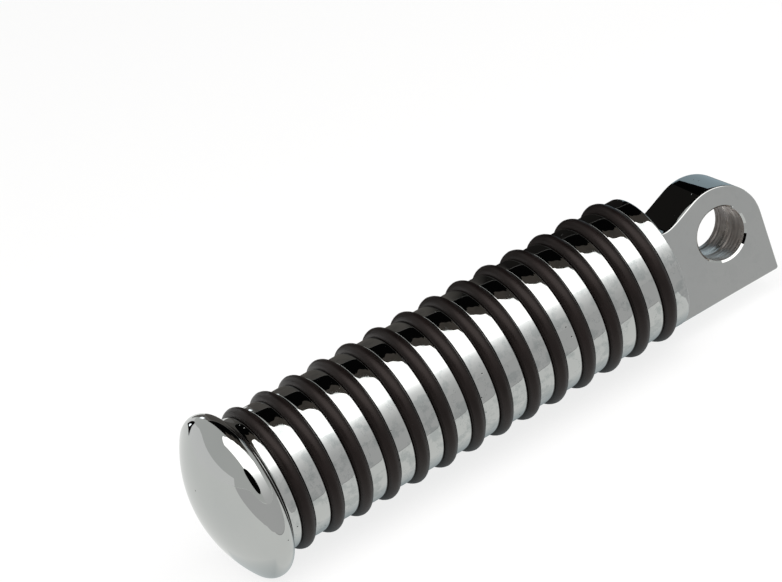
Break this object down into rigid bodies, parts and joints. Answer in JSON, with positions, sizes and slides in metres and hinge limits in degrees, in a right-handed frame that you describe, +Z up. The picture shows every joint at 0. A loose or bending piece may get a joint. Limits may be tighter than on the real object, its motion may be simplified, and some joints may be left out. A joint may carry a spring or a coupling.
{
  "type": "foot peg",
  "caption": "Straight round motorcycle foot peg with a domed outer end, grooves that hold rubber O-rings for grip, and a flat bored tongue for a folding pivot.",
  "frame": {"origin": "centre of the pivot bore, on the middle plane of the tongue", "axes": "+X outboard along the peg's axis towards the domed end, +Y along the pivot bore, +Z up in the riding position, so that the tongue's square corner points down and inboard"},
  "size_m": [0.1175, 0.0316, 0.0316],
  "materials": {
    "chrome": "polished chrome plate, mirror bright",
    "grip_rubber": "moulded black rubber, dull with a faint sheen"
  },
  "bodies": {
    "root": {"peg_body": "chrome", "grip_ring_01": "grip_rubber", "grip_ring_02": "grip_rubber", "grip_ring_03": "grip_rubber", "grip_ring_04": "grip_rubber", "grip_ring_05": "grip_rubber", "grip_ring_06": "grip_rubber", "grip_ring_07": "grip_rubber", "grip_ring_08": "grip_rubber", "grip_ring_09": "grip_rubber", "grip_ring_10": "grip_rubber", "grip_ring_11": "grip_rubber", "grip_ring_12": "grip_rubber", "grip_ring_13": "grip_rubber", "grip_ring_14": "grip_rubber"}
  },
  "joints": []
}
